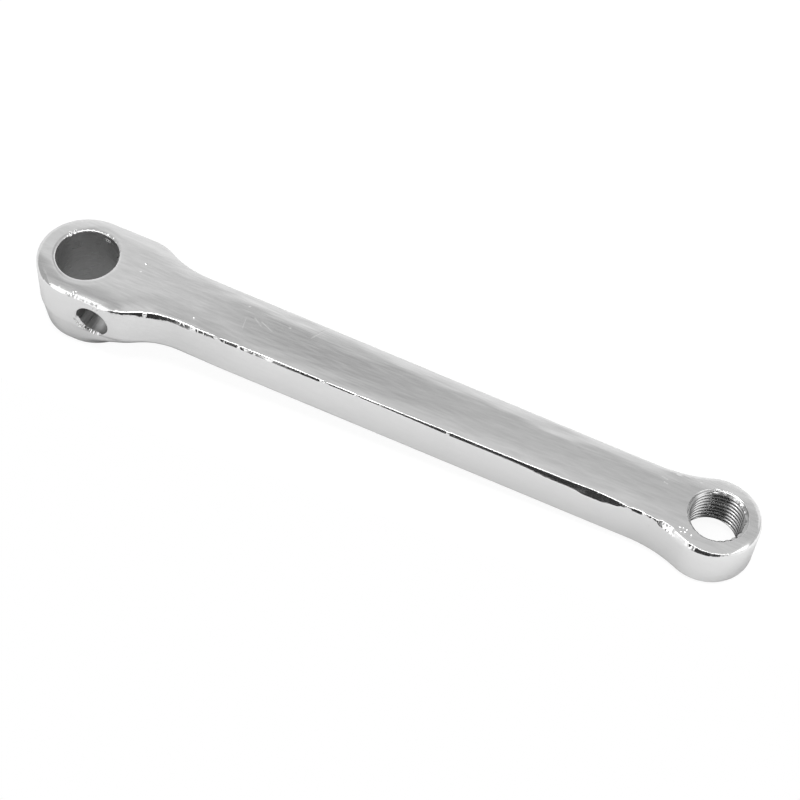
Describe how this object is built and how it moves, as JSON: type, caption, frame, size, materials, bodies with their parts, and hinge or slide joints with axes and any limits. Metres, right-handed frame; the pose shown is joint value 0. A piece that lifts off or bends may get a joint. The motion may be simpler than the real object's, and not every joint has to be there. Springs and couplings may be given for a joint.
{
  "type": "bicycle crank arm",
  "caption": "Chrome plated forged steel crank arm with a long boss for a cottered spindle, a slim tapering arm and a threaded round eye for the pedal.",
  "frame": {"origin": "on the spindle bore's axis, at the boss's inner face", "axes": "+X along the arm from the spindle axis to the pedal axis, +Z outward along the spindle bore, +Y along the cotter hole"},
  "size_m": [0.1936, 0.026, 0.021],
  "materials": {
    "chrome": "bright plating over a belt polished forging"
  },
  "bodies": {
    "root": {"crank_arm": "chrome"}
  },
  "joints": []
}
